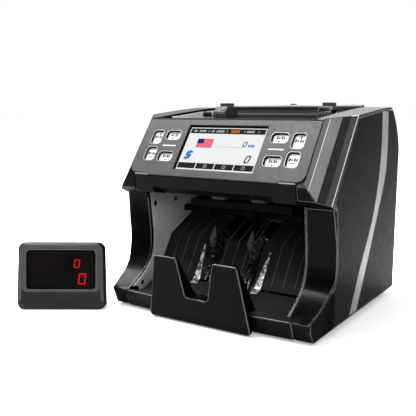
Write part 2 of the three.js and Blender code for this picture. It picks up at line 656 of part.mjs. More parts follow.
addNode('feed_shaft', shaft(FEED_AXIS, FEED_PULLEY_R, FEED_LANE), BRIGHT_STEEL);
addNode('feed_roller', roller(FEED_AXIS, 15, CENTRE_LANDS, 7, 60), RUBBER);
addNode('pickup_roller', pickupRoller(), RUBBER);
addNode('retard_roller', wholeRoller(RETARD_AXIS, 10, CENTRE_LANDS), RUBBER);
addNode('delivery_roller', wholeRoller(DELIVERY_AXIS, 8.6, [[-66, -54], [-6, 6], [54, 66]]), RUBBER);

function wholeRoller(axis, radius, lands) {
  const rod = rodX(SHAFT_R, -100.5, 100.5, axis, 16);
  return union([rod, ...lands.map(([x0, x1]) => rodX(radius, x0, x1, axis, 32))]);
}

function pickupRoller() {
  return wholeRoller(PICKUP_AXIS, 12.5, CENTRE_LANDS);
}

// ---------------------------------------------------------------- drive: motor, pulleys, belts
function driveMotor() {
  const can = rodX(22, -84, -24, MOTOR_AXIS, 28);
  const boss = rodX(8, -95, -84, MOTOR_AXIS, 20);
  const foot = box(-80, -30, MOTOR_AXIS[0] - 12, MOTOR_AXIS[0] + 12, BOTTOM_Z + WALL + 0.4, 24);
  return union([can, boss, foot]).subtract(rodX(3.4, -110, -70, MOTOR_AXIS, 16));
}

function motorPulley() {
  const spindle = rodX(3, -110.5, -72, MOTOR_AXIS, 16);
  const end = -PULLEY_X0 - PULLEY_STEP * 2;
  return spindle.add(rodX(MOTOR_PULLEY_R, end + 0.4, -PULLEY_X0, MOTOR_AXIS, 24));
}

// Loop that runs round two pulleys, 1.2 thick, just clear of both.
function driveBelt(axisA, radiusA, axisB, radiusB, lane) {
  const start = -PULLEY_X0 - PULLEY_STEP * (lane + 1);
  const [x0, x1] = [start + 0.8, start + PULLEY_STEP - 0.8];
  const outer = prismX(loopOutline(axisA, radiusA + 1.6, axisB, radiusB + 1.6), x0, x1);
  return outer.subtract(prismX(loopOutline(axisA, radiusA + 0.4, axisB, radiusB + 0.4), x0 - 1, x1 + 1));
}

// Convex outline round two circles of radius a and b.
function loopOutline([ya, za], a, [yb, zb], b) {
  const heading = Math.atan2(zb - za, yb - ya);
  const spread = Math.acos((a - b) / Math.hypot(yb - ya, zb - za));
  const arc = (y, z, r, from, to) =>
    Array.from({ length: 11 }, (_, i) => {
      const angle = heading + from + ((to - from) * i) / 10;
      return [y + r * Math.cos(angle), z + r * Math.sin(angle)];
    });
  return [...arc(ya, za, a, spread, 2 * Math.PI - spread), ...arc(yb, zb, b, -spread, spread)];
}

addNode('drive_motor', driveMotor(), ZINC);
addNode('motor_pulley', motorPulley(), BRIGHT_STEEL);
addNode('feed_belt', driveBelt(MOTOR_AXIS, MOTOR_PULLEY_R, FEED_AXIS, FEED_PULLEY_R, FEED_LANE), BELT);
addNode(
  'stacker_belt', driveBelt(MOTOR_AXIS, MOTOR_PULLEY_R, STACKER_AXIS, STACKER_PULLEY_R, STACKER_LANE), BELT);

// ---------------------------------------------------------------- sensors, electronics, frame
function sensorBar(half, y0, y1, z0, z1) {
  const bar = box(-half, half, y0, y1, z0, z1);
  return bar.subtract(box(-half + 4, half - 4, y0 + 2, y1 - 2, z0 + 2.5, z1 + 5));
}

function transportFrame() {
  const web = box(-INSIDE, INSIDE, 140, 142.5, 100, 170);
  return web.add(box(-INSIDE, INSIDE, 142, 156, 100, 102.5));
}

addNode('sensor_bar_front', sensorBar(66, 66, 78, 112.5, 121.5), DARK_GREY);
addNode('sensor_bar_rear', sensorBar(90, 113, 125, 106, 117), DARK_GREY);
addNode('transport_frame', transportFrame(), SATIN_BLACK);
addNode('main_board', box(-80, 80, 196, 197.8, 78, 172), BOARD);
addNode('power_supply', box(8, 88, 150, 205, BOTTOM_Z + WALL + 0.4, 44), ZINC);

// ---------------------------------------------------------------- rear door, rear panel, switch
const DOOR_HALF = 99.2;
const DOOR_PIVOT = [224.5, 70];
const DOOR_Z = [66, 203];
const SWITCH = { x0: -58, x1: -38, z0: 22, z1: 46, tilt: 10 };
const SWITCH_PIVOT = [227.5, 34];
const INNER_PROFILE = inset(PROFILE, 2.5);

const rearSkin = (z0, z1) => prismX(PROFILE, -DOOR_HALF, DOOR_HALF)
  .subtract(prismX(INNER_PROFILE, -120, 120))
  .intersect(box(-120, 120, 175, 260, z0, z1));

// Drops down about a pin along its lower edge to clear a jam.
function rearDoor() {
  const knuckles = SIDES.map(([, side]) => rodX(3, ...mirror(side, 60, 80), DOOR_PIVOT, 16)
    .add(sideBox(side, 60, 80, 224, 228.6, 68, 73)));
  const vents = Array.from({ length: 7 }, (_, i) => box(-60, 60, 175, 240, 150 + 6 * i, 152.4 + 6 * i));
  const armRelief = SIDES.map(([, side]) => sideBox(side, 83, 89, 200, 240, 60, 79));
  return union([rearSkin(...DOOR_Z), ...knuckles])
    .subtract(union([...vents, ...armRelief]))
    .subtract(rodX(1.6, -100, 100, DOOR_PIVOT, 14));
}

// Lower rear panel: carries the hinge pin, the mains inlet, the switch and the data sockets.
function rearPanel() {
  const pin = rodX(1.2, -DOOR_HALF, DOOR_HALF, DOOR_PIVOT, 12);
  const arms = SIDES.map(([, side]) => sideBox(side, 84, 88, 219, 226, 55, 73)
    .add(sideBox(side, 84, 88, 219, 228, 52, 62)));
  const inlet = box(-92, -64, 205, 240, 24, 44);
  const inletWell = box(-95, -61, 210, 226.4, 21, 47).subtract(inlet);
  const pins = [-84, -78, -72].map((x) => box(x - 1, x + 1, 209, 222, 31, 36));
  const switchHole = box(SWITCH.x0 - GAP, SWITCH.x1 + GAP, 205, 240, SWITCH.z0 - GAP, SWITCH.z1 + GAP);
  const sockets = [[20, 34, 26, 40], [44, 58, 30, 37], [68, 82, 30, 37]]
    .map(([x0, x1, z0, z1]) => box(x0, x1, 216, 240, z0, z1));
  const innerBack = box(-95, -61, 208, 210.5, 21, 47);
  const lightTrap = box(-94, 94, 214, 228.5, 60, 62).add(box(-94, 94, 214, 216, 60, 82));
  return union([rearSkin(14, 63.5), lightTrap, ...arms, pin])
    .subtract(union([inlet, switchHole, ...sockets]))
    .add(inletWell)
    .add(innerBack)
    .add(union(pins));
}

function rockerSwitch() {
  const [low, high] = [SWITCH.z0 + 1, SWITCH.z1 - 1];
  const face = [[222, low], [227.4, low], [228.8, 34], [230.6, high], [222, high]];
  return prismX(face.reverse(), SWITCH.x0 + 0.4, SWITCH.x1 - 0.4);
}

addNode('rear_door', rearDoor(), SATIN_BLACK);
addNode('rear_panel', rearPanel(), SATIN_BLACK);
addNode('rocker_switch', rockerSwitch(), GLOSS_BLACK);

// ---------------------------------------------------------------- customer display
// Own frame: x across, y back from its front foot, z up.
const display = new THREE.Group();
display.position.set(
  MACHINE_AT[0] + DISPLAY_AT[0], MACHINE_AT[1] + DISPLAY_AT[1], 0);
display.rotation.z = rad(DISPLAY_YAW);
part.add(display);

const FACE_LEAN = 8.6; // degrees the display's face leans back
const FACE_HEIGHT = 77.2;
const FACE_DEPTH = 13;
const VIEW = { half: 38.8, bottom: 24, top: 68 };

// Outline of the face: x across, y up the face; depths run along z, out towards the customer.
const faceOutline = (d) => {
  const low = 51 - d;
  const high = 49.3 - d;
  const r = 8;
  const arc = (cx, cy, from) => Array.from({ length: 5 }, (_, i) => {
    const angle = rad(from + 22.5 * i);
    return [cx + r * Math.cos(angle), cy + r * Math.sin(angle)];
  });
  const top = FACE_HEIGHT - d;
  return [
    [-low + 5, d], [low - 5, d], [low, d + 5], ...arc(high - r, top - r, 0), ...arc(-high + r, top - r, 90),
    [-low, d + 5],
  ];
};

// Turns a solid drawn on the face into the display's own frame and trims it at the counter.
function leanBack(manifold, lowest) {
  const geometry = geometryOf(manifold);
  geometry.rotateX(Math.PI / 2 - rad(FACE_LEAN));
  return solid(geometry).intersect(box(-80, 80, -40, 90, lowest, 120));
}

function displayFront() {
  const shell = prismZ(faceOutline(0), -FACE_DEPTH, 0);
  const hollow = prismZ(faceOutline(2.5), -FACE_DEPTH - 1, -4.2);
  const view = prismZ(roundedRectangle(-VIEW.half, VIEW.half, VIEW.bottom, VIEW.top, 4), -6, 1);
  return leanBack(shell.subtract(hollow).subtract(view), 0.6);
}

// Rear shell: draws in towards the back, stands on a flat foot, has a socket for the data lead.
function displayBack() {
  const block = lofted(faceOutline(0.6), faceOutline(9), -FACE_DEPTH - GAP, -34);
  const inside = lofted(faceOutline(3.2), faceOutline(11.5), -FACE_DEPTH + 1, -31.5);
  const socket = prismZ(rectangle(-8, 8, 20, 32), -40, -20);
  const foot = prismX([[14, 0], [44, 0], [44, 2.4], [36, 5.6], [14, 1.6]], -38, 38);
  return leanBack(block.subtract(inside).subtract(socket), 0).add(foot);
}

const displayWindow = () => leanBack(prismZ(rectangle(-41, 41, 21.8, 70.2), -6.4, -4.6), 0);

// Closed solid between two like outlines at heights z0 and z1 (z1 lower).
function lofted(near, far, z0, z1) {
  const count = near.length;
  const positions = [];
  const put = (p, z) => positions.push(p[0], p[1], z);
  const fan = (ring, z, flip) => {
    for (let i = 1; i < count - 1; i += 1) {
      put(ring[0], z);
      put(ring[flip ? i + 1 : i], z);
      put(ring[flip ? i : i + 1], z);
    }
  };
  fan(near, z0, false);
  fan(far, z1, true);
  for (let i = 0; i < count; i += 1) {
    const j = (i + 1) % count;
    put(far[i], z1);
    put(far[j], z1);
    put(near[j], z0);
    put(far[i], z1);
    put(near[j], z0);
    put(near[i], z0);
  }
  const geometry = new THREE.BufferGeometry();
  geometry.setAttribute('position', new THREE.BufferAttribute(new Float32Array(positions), 3));
  return solid(geometry);
}

addNode('display_front', displayFront(), SATIN_BLACK, display);
addNode('display_back', displayBack(), SATIN_BLACK, display);
addNode('display_window', displayWindow(), SMOKED, display);

export default part;
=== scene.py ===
"""Looks of the banknote counter and its customer display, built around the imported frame."""
import json
import math

import bmesh
import bpy
from mathutils import Matrix, Vector
from mathutils.geometry import tessellate_polygon

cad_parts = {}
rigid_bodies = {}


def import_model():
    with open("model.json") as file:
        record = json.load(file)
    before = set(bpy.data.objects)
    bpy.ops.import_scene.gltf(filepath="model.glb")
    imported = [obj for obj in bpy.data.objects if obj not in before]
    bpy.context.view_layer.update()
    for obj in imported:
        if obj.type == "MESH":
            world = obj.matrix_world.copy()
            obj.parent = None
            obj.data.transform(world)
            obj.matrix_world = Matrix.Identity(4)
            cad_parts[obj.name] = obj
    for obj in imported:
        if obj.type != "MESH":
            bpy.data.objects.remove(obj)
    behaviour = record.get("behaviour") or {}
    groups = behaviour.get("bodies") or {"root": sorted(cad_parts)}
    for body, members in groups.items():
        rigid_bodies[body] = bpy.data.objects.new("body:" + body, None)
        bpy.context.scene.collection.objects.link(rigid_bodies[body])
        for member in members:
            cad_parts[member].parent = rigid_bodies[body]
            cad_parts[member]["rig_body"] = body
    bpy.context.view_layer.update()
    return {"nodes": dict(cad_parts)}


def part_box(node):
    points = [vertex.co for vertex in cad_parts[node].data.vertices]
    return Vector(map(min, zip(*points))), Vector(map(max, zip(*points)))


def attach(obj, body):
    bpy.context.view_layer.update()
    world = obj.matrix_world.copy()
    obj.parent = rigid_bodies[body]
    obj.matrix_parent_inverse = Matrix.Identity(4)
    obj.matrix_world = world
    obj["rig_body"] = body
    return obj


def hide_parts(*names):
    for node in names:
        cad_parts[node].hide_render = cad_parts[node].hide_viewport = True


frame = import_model()

# ---------------------------------------------------------------- frames of reference
# Lengths below are millimetres; each frame's matrix also turns them into metres.
MM = 0.001
PANEL_TILT = math.radians(53.9)  # control panel, from level
DISPLAY_YAW = math.radians(33.4)  # customer display, turned towards the customer
DISPLAY_LEAN = math.radians(8.6)  # its face leans back
FOOT_Y = 24  # front feet, behind the front foot line
FOOT_X = 84


def centre(node):
    low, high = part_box(node)
    return (low + high) / 2


def frame_through(point, offset, rotation):
    """Frame with the given rotation in which the point lies at the offset, in millimetres."""
    origin = point - rotation @ (Vector(offset) * MM)
    return Matrix.Translation(origin) @ rotation.to_4x4() @ Matrix.Scale(MM, 4)


FOOT = centre("foot_front_left")
LEVEL = Matrix.Identity(3)
TILTED = Matrix.Rotation(PANEL_TILT, 3, "X")
LEANED = Matrix.Rotation(DISPLAY_YAW, 3, "Z") @ Matrix.Rotation(math.pi / 2 - DISPLAY_LEAN, 3, "X")
FLOOR_POINT = Vector((FOOT.x, FOOT.y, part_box("foot_front_left")[0].z))
MACHINE = frame_through(FLOOR_POINT, (-FOOT_X, FOOT_Y, 0), LEVEL)
PANEL = frame_through(centre("screen_panel"), (0, 28.25, -3.8), TILTED)  # u across, v up, n out
FACE = frame_through(centre("display_window"), (0, 46, -5.5), LEANED)  # across, up, out

SIDES = (("left", -1), ("right", 1))


# ---------------------------------------------------------------- shader building
class Shader:
    """Principled material put together from procedural layers in object coordinates."""

    def __init__(self, name, **sockets):
        self.material = bpy.data.materials.new(name)
        self.material.use_nodes = True
        self.tree = self.material.node_tree
        self.surface = self.tree.nodes["Principled BSDF"]
        self.normal = None
        for socket, value in sockets.items():
            self.surface.inputs[socket.replace("_", " ")].default_value = value
        self.where = self.add("ShaderNodeTexCoord").outputs["Object"]

    def add(self, kind, **inputs):
        node = self.tree.nodes.new(kind)
        for name, value in inputs.items():
            node.inputs[name].default_value = value
        return node

    def link(self, source, target):
        self.tree.links.new(source, target)

    def noise(self, size, detail=3.0, stretch=(1, 1, 1)):
        """Noise whose features are about size millimetres, drawn out along the axes by stretch."""
        mapping = self.add("ShaderNodeMapping")
        mapping.inputs["Scale"].default_value = [1 / s for s in stretch]
        self.link(self.where, mapping.inputs["Vector"])
        texture = self.add("ShaderNodeTexNoise", Scale=1 / (size * MM), Detail=detail)
        self.link(mapping.outputs["Vector"], texture.inputs["Vector"])
        return texture.outputs["Fac"]

    def rise(self, high):
        """Goes from 0 at the floor to 1 at the given height in millimetres."""
        split = self.add("ShaderNodeSeparateXYZ")
        self.link(self.where, split.inputs["Vector"])
        spread = self.add("ShaderNodeMapRange")
        spread.inputs["From Max"].default_value = high * MM
        self.link(split.outputs["Z"], spread.inputs["Value"])
        return spread.outputs["Result"]

    def multiplied(self, first, second):
        mix = self.add("ShaderNodeMix")
        mix.data_type = "RGBA"
        mix.blend_type = "MULTIPLY"
        mix.inputs["Factor"].default_value = 1
        self.link(first, mix.inputs[6])
        self.link(second, mix.inputs[7])
        self.link(mix.outputs[2], self.surface.inputs["Base Color"])

    def cells(self, size):
        texture = self.add("ShaderNodeTexVoronoi", Scale=1 / (size * MM))
        self.link(self.where, texture.inputs["Vector"])
        return texture.outputs["Color"]

    def ramp(self, source, stops):
        node = self.add("ShaderNodeValToRGB")
        elements = node.color_ramp.elements
        while len(elements) < len(stops):
            elements.new(0.5)
        for element, (position, colour) in zip(elements, stops):
            element.position = position
            element.color = (*colour, 1)
        self.link(source, node.inputs["Fac"])
        return node.outputs["Color"]

    def colour(self, source, dark, light, low=0.35, high=0.65):
        self.link(self.ramp(source, [(low, dark), (high, light)]), self.surface.inputs["Base Color"])

    def roughness(self, source, low, high):
        spread = self.add("ShaderNodeMapRange")
        spread.inputs["From Min"].default_value = 0.3
        spread.inputs["From Max"].default_value = 0.7
        spread.inputs["To Min"].default_value = low
        spread.inputs["To Max"].default_value = high
        self.link(source, spread.inputs["Value"])
        self.link(spread.outputs["Result"], self.surface.inputs["Roughness"])

    def bump(self, source, height, strength=1.0):
        """Relief of about height millimetres, on top of any added before."""
        node = self.add("ShaderNodeBump", Strength=strength, Distance=height * MM)
        self.link(source, node.inputs["Height"])
        if self.normal:
            self.link(self.normal, node.inputs["Normal"])
        self.normal = node.outputs["Normal"]
        self.link(self.normal, self.surface.inputs["Normal"])


def grey(value):
    return (value, value, value)


def moulded(name, dark, light, rough, grain=0.02, specular=0.14):
    """Injection moulded plastic: slight sink and tone variation, fine spark-eroded grain."""
    shader = Shader(name, Specular_IOR_Level=specular)
    shader.colour(shader.noise(34, 5), grey(dark), grey(light))
    shader.roughness(shader.noise(11, 6), rough - 0.05, rough + 0.06)
    shader.bump(shader.noise(26, 2), 0.05, 0.3)
    shader.bump(shader.noise(0.7, 2), grain, 0.6)
    return shader.material


def pewter_paint(name):
    """Dark metallic lacquer: flake of many small tones with a satin sheen."""
    shader = Shader(name, Metallic=0.2, Specular_IOR_Level=0.04)
    flake = shader.ramp(shader.cells(0.35), [(0.0, grey(0.017)), (0.6, grey(0.026)), (1.0, grey(0.048))])
    tone = shader.ramp(shader.noise(40, 4), [(0.3, grey(0.85)), (0.7, grey(1.05))])
    shader.multiplied(flake, tone)
    shader.roughness(shader.noise(6, 5), 0.36, 0.46)
    shader.bump(shader.noise(0.45, 2), 0.02, 0.5)
    return shader.material


def brushed(name, dark, light, rough, stretch, metallic=0.85):
    """Metal with fine lines drawn along one axis and soft blotches."""
    shader = Shader(name, Metallic=metallic)
    shader.colour(shader.noise(18, 6), grey(dark), grey(light), 0.3, 0.7)
    shader.roughness(shader.noise(0.5, 3, stretch), rough - 0.07, rough + 0.08)
    shader.bump(shader.noise(0.35, 2, stretch), 0.012, 0.5)
    return shader.material


def zinc(name):
    """Zinc-plated sheet: pale spangle, with the shade inside the machine painted on by height."""
    shader = Shader(name, Metallic=0.3)
    spangle = shader.ramp(shader.noise(22, 7), [(0.25, grey(0.72)), (0.75, grey(0.88))])
    shade = ((0.1, 0.62), (0.3, 0.42), (0.42, 0.36), (0.52, 0.16), (0.6, 0.16), (0.7, 1.0))
    tone = shader.ramp(shader.rise(250), [(height, grey(value)) for height, value in shade])
    shader.multiplied(spangle, tone)
    shader.roughness(shader.cells(5), 0.42, 0.6)
    shader.bump(shader.noise(3, 3), 0.03, 0.4)
    return shader.material


def crumpled_steel(name):
    """Thin polished strip with many small dents."""
    shader = Shader(name, Metallic=0.7)
    shader.colour(shader.noise(3.5, 5), grey(0.04), grey(0.5), 0.4, 0.6)
    shader.roughness(shader.noise(3, 4), 0.2, 0.5)
    shader.bump(shader.noise(3.2, 3), 0.7, 0.9)
    return shader.material


def rubber(name, dark, light):
    shader = Shader(name, Specular_IOR_Level=0.25, Sheen_Weight=0.08)
    shader.colour(shader.noise(5, 5), grey(dark), grey(light))
    shader.roughness(shader.noise(2, 4), 0.62, 0.85)
    shader.bump(shader.noise(0.6, 3), 0.04, 0.7)
    return shader.material


def glowing(name, colour, strength, rough=0.45):
    """Lit picture element: its colour varies a little from one small cell to the next."""
    shader = Shader(name, Roughness=rough, Specular_IOR_Level=0.0)
    low = tuple(c * 0.93 for c in colour)
    tint = shader.ramp(shader.cells(0.25), [(0.2, low), (0.9, colour)])
    shader.link(tint, shader.surface.inputs["Emission Color"])
    shader.surface.inputs["Emission Strength"].default_value = strength
    shader.surface.inputs["Base Color"].default_value = (0.004, 0.004, 0.004, 1)
    return shader.material


def smoked_glass(name):
    shader = Shader(name, Specular_IOR_Level=0.03)
    shader.colour(shader.noise(30, 3), (0.001, 0.001, 0.001), (0.003, 0.002, 0.002))
    shader.roughness(shader.noise(20, 4), 0.08, 0.16)
    shader.bump(shader.noise(60, 1), 0.05, 0.2)
    return shader.material


def circuit_board(name):
    shader = Shader(name)
    shader.colour(shader.noise(1.6, 1, (1, 6, 6)), (0.01, 0.09, 0.035), (0.03, 0.2, 0.08), 0.48, 0.52)
    shader.roughness(shader.noise(4, 3), 0.35, 0.5)
    shader.bump(shader.noise(1.6, 1, (1, 6, 6)), 0.05, 0.6)
    return shader.material


def printed_ink(name, value):
    shader = Shader(name, Specular_IOR_Level=0.04)
    shader.colour(shader.noise(0.8, 4), grey(value * 0.8), grey(value * 1.2))
    shader.roughness(shader.noise(1.5, 3), 0.45, 0.6)
    return shader.material


M = {
    "gloss_black": moulded("gloss_black", 0.0008, 0.0013, 0.2, grain=0.002, specular=0.024),
    "edge_gloss": moulded("edge_gloss", 0.006, 0.012, 0.22, grain=0.003, specular=0.4),
    "satin_black": moulded("satin_black", 0.003, 0.005, 0.4, grain=0.015, specular=0.09),
    "panel_black": moulded("panel_black", 0.001, 0.0015, 0.28, grain=0.005, specular=0.008),
    "lip_black": moulded("lip_black", 0.0014, 0.0022, 0.4, grain=0.008, specular=0.03),
    # painted shade: parts deep in the pocket and the casing's undersides are made this black for the
    # shade on them
    "shade_black": moulded("shade_black", 0.001, 0.002, 0.6, grain=0.01, specular=0.02),
    "slide_black": moulded("slide_black", 0.008, 0.012, 0.42, grain=0.015, specular=0.06),
    # painted light on the stacker plate's rib tops and wheel cheeks
    "lit_rib_grey": moulded("lit_rib_grey", 0.06, 0.09, 0.4, grain=0.01, specular=0.3),
    "lit_cheek_grey": moulded("lit_cheek_grey", 0.05, 0.08, 0.4, grain=0.02, specular=0.3),
    "dark_grey": moulded("dark_grey", 0.014, 0.022, 0.46, grain=0.04, specular=0.2),
    "hopper_grey": moulded("hopper_grey", 0.03, 0.042, 0.42, grain=0.03, specular=0.2),
    # painted light: the hopper lip's upward faces and the highlight round the key openings
    "lit_lip_grey": moulded("lit_lip_grey", 0.12, 0.17, 0.4, grain=0.02, specular=0.3),
    "shoulder_dark": moulded("shoulder_dark", 0.055, 0.07, 0.42, grain=0.02, specular=0.2),
    # painted highlight along the panel's foot
    "foot_highlight_grey": moulded("foot_highlight_grey", 0.07, 0.1, 0.45, grain=0.01, specular=0.08),
    "shoulder_grey": moulded("shoulder_grey", 0.09, 0.115, 0.42, grain=0.02, specular=0.2),
    "shoulder_outer": moulded("shoulder_outer", 0.022, 0.032, 0.4, grain=0.02, specular=0.2),
    # painted highlight on edges that catch the light
    "edge_highlight_grey": moulded("edge_highlight_grey", 0.3, 0.38, 0.35, grain=0.01, specular=0.4),
    "groove_black": moulded("groove_black", 0.006, 0.009, 0.45, grain=0.02, specular=0.1),
    "top_grey": moulded("top_grey", 0.05, 0.07, 0.4, grain=0.02, specular=0.25),
    "display_rim": moulded("display_rim", 0.003, 0.006, 0.36, grain=0.01, specular=0.1),
    "display_grey": moulded("display_grey", 0.018, 0.026, 0.4, grain=0.02, specular=0.16),
    "display_frame": moulded("display_frame", 0.034, 0.044, 0.36, grain=0.02, specular=0.2),
    "pewter": pewter_paint("pewter"),
    "silver_trim": brushed("silver_trim", 0.11, 0.16, 0.36, (1, 1, 30), 0.5),
    "key_white": moulded("key_white", 0.3, 0.37, 0.4, grain=0.01, specular=0.12),
    "key_shade": moulded("key_shade", 0.09, 0.13, 0.4, grain=0.01, specular=0.15),
    "zinc_plate": zinc("zinc_plate"),
    # painted shade on the chassis plates' cut edges
    "sheet_edge_shade": moulded("sheet_edge_shade", 0.003, 0.006, 0.5, grain=0.01, specular=0.05),
    "bright_steel": brushed("bright_steel", 0.5, 0.7, 0.25, (20, 1, 1), 1.0),
    "crumpled_steel": crumpled_steel("crumpled_steel"),
    "rubber": rubber("rubber", 0.006, 0.012),
    "fin_rubber": moulded("fin_rubber", 0.006, 0.014, 0.26, grain=0.02, specular=0.9),
    "belt_rubber": rubber("belt_rubber", 0.012, 0.02),
    "circuit_board": circuit_board("circuit_board"),
    "smoked_window": smoked_glass("smoked_window"),
    "ink": printed_ink("ink", 0.006),
    "lcd_white": glowing("lcd_white", (0.9, 0.91, 0.93), 1.0),
    "lcd_black": glowing("lcd_black", (0.01, 0.01, 0.012), 1.0),
    "lcd_grey": glowing("lcd_grey", (0.42, 0.43, 0.45), 1.0),
    "lcd_orange": glowing("lcd_orange", (0.62, 0.11, 0.004), 1.0),
    "lcd_rose": glowing("lcd_rose", (0.85, 0.16, 0.22), 1.0),
    "lcd_navy": glowing("lcd_navy", (0.006, 0.015, 0.11), 1.0),
    "lcd_blue": glowing("lcd_blue", (0.0, 0.2, 0.68), 1.0),
    "digit_red": glowing("digit_red", (0.86, 0.0, 0.0), 1.0),
}


# ---------------------------------------------------------------- mesh building
def rounded_rectangle(x0, x1, y0, y1, radius, steps=4):
    corners = ((x1, y0, -90), (x1, y1, 0), (x0, y1, 90), (x0, y0, 180))
    outline = []
    for x, y, start in corners:
        cx = x - math.copysign(radius, x - (x0 + x1) / 2)
        cy = y - math.copysign(radius, y - (y0 + y1) / 2)
        for step in range(steps + 1):
            angle = math.radians(start + 90 * step / steps)
            outline.append((cx + radius * math.cos(angle), cy + radius * math.sin(angle)))
    return outline


def rectangle(x0, x1, y0, y1):
    return [(x0, y0), (x1, y0), (x1, y1), (x0, y1)]


def circle(radius, steps=32, x=0.0, y=0.0):
    turn = 2 * math.pi / steps
    return [(x + radius * math.cos(turn * i), y + radius * math.sin(turn * i)) for i in range(steps)]


def slanted(outline, lean):
    """Leans an outline to the right, as italic figures lean."""
    return [(x + lean * y, y) for x, y in outline]


class Maker:
    """Collects closed solids into one mesh; each solid may have its own material."""

    def __init__(self, place):
        self.place = place
        self.mesh = bmesh.new()
        self.materials = []

    def _slot(self, material):
        if material not in self.materials:
            self.materials.append(material)
        return self.materials.index(material)

    def _face(self, corners, slot):
        face = self.mesh.faces.new(corners)
        face.material_index = slot

    def prism(self, outline, low, high, material, holes=(), at=Matrix.Identity(4)):
        """Outline in x and y, with holes, pushed from z low to z high."""
        slot = self._slot(material)
        place = self.place @ at
        loops = [list(outline), *[list(h) for h in holes]]
        flat = [[Vector((x, y, 0)) for x, y in loop] for loop in loops]
        triangles = tessellate_polygon(flat)
        rings = {}
        for z in (low, high):
            points = [p for loop in loops for p in loop]
            rings[z] = [self.mesh.verts.new(place @ Vector((x, y, z))) for x, y in points]
        for a, b, c in triangles:
            self._face([rings[high][i] for i in (a, b, c)], slot)
            self._face([rings[low][i] for i in (c, b, a)], slot)
        start = 0
        for loop in loops:
            count = len(loop)
            for i in range(count):
                j = start + (i + 1) % count
                k = start + i
                self._face([rings[low][k], rings[low][j], rings[high][j], rings[high][k]], slot)
            start += count

    def object(self, name, body, bevel=0.0, sharp=35, replaces=()):
        bmesh.ops.recalc_face_normals(self.mesh, faces=self.mesh.faces)
        return placed(self.mesh, name, body, self.materials, bevel, sharp, replaces)


def placed(work, name, body, materials, bevel, sharp, replaces, edge=None):
    """Turns a bmesh into a piece: edges rounded, shaded smooth, riding on its body.

    edge names the finish of the rounded edges, or a function that picks it from a face's middle.
    """
    if bevel:
        round_edges(work, materials, bevel, sharp, edge)
    mesh = bpy.data.meshes.new(name)
    work.to_mesh(mesh)
    work.free()
    mesh.shade_smooth()
    mesh.set_sharp_from_angle(angle=math.radians(50))
    for material in materials:
        mesh.materials.append(M[material])
    piece = bpy.data.objects.new(name, mesh)
    bpy.context.scene.collection.objects.link(piece)
    weighted = piece.modifiers.new("flat faces", "WEIGHTED_NORMAL")
    weighted.keep_sharp = True
    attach(piece, body)
    if replaces:
        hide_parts(*replaces)
    return piece


def round_edges(work, materials, bevel, sharp, edge):
    """Rounds the sharp edges, but leaves the very short ones as they are.

    A bevel over 1 mm takes edges down to half its size, a finer one down to twice its size.
    """
    limit = math.radians(sharp)
    shortest = (0.5 if bevel > 1 else 2) * bevel * MM
    edges = [e for e in work.edges if e.is_manifold and e.calc_face_angle(0) > limit]
    edges = [e for e in edges if e.calc_length() > shortest]
    rounding = bmesh.ops.bevel(
        work, geom=edges, offset=bevel * MM, offset_type="OFFSET", segments=3, profile=0.5,
        affect="EDGES", clamp_overlap=False, loop_slide=True)
    for face in rounding["faces"] if edge else ():
        finish = edge if isinstance(edge, str) else edge(face.calc_center_median())
        if finish not in materials:
            materials.append(finish)
        face.material_index = materials.index(finish)


def body_of(node):
    return frame["nodes"][node]["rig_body"]


def moulding(node, material, bevel=0.5, sharp=35, repaint=None, weld=0.002, edge=None):
    """Piece in the shape of a CAD node with its edges rounded, standing in for it.

    repaint may name another material for a face, from the face's middle and normal. Corners
    closer than weld millimetres are joined first, so that short edges don't spoil the rounding.
    """
    work = bmesh.new()
    work.from_mesh(frame["nodes"][node].data)
    bmesh.ops.remove_doubles(work, verts=work.verts, dist=weld * MM)
    bmesh.ops.dissolve_degenerate(work, edges=work.edges, dist=weld * MM)
    bmesh.ops.dissolve_limit(work, angle_limit=math.radians(0.5), verts=work.verts, edges=work.edges)
    materials = [material]
    for face in work.faces:
        other = repaint and repaint(face.calc_center_median(), face.normal)
        if other and other not in materials:
            materials.append(other)
        face.material_index = materials.index(other or material)
    return placed(work, node + "_moulding", body_of(node), materials, bevel, sharp, (node,), edge)


# ---------------------------------------------------------------- casing
CASING = (
    # node, material, slot, edge radius
    ("control_housing", "lip_black", "gloss_black", 0.8),
    ("control_overlay", "pewter", "pewter", 0.35),
    ("screen_frame", "gloss_black", "gloss_black", 0.3),
    ("feed_throat", "satin_black", "satin_black", 0.4),
    ("hopper_floor", "satin_black", "satin_black", 0.3),
    ("rear_door", "satin_black", "satin_black", 0.5),
    ("rear_panel", "satin_black", "satin_black", 0.4),
    ("rocker_switch", "gloss_black", "gloss_black", 0.6),
    ("adjust_knob", "satin_black", "satin_black", 0.3),
    # the sensor bars and the transport frame are painted shade black in place of their own finishes
    ("sensor_bar_front", "shade_black", "dark_grey", 0.4),
    ("sensor_bar_rear", "shade_black", "dark_grey", 0.4),
    ("transport_frame", "shade_black", "satin_black", 0.3),
    ("display_back", "satin_black", "satin_black", 0.8),
    ("display_window", "smoked_window", "smoked_window", 0.2),
)
PAIRED = (
    ("trim_strip", "silver_trim", "silver_trim", 0.15),
    ("wear_strip", "crumpled_steel", "bright_steel", 0.15),
    ("note_guide", "dark_grey", "dark_grey", 0.6),
    ("foot_front", "rubber", "rubber", 0.4),
    ("foot_rear", "rubber", "rubber", 0.4),
)

# Creases of the shoulder, from the overlay out to the side panel: across, out of the panel.
SHOULDER = ((107.3, 0.3), (112, -4), (120, -12.5), (121, -14.5), (126.2, -18.3), (131.5, -23.9))
SHOULDER_FINISH = ("shoulder_dark", "shoulder_grey", "groove_black", "groove_black", "shoulder_outer")
TOP_SLOPE = 0.95  # a face whose normal rises more than this looks straight up
# Heights in metres, as the frame has them
TOP_FROM = 0.2
LIP_FROM = 0.225
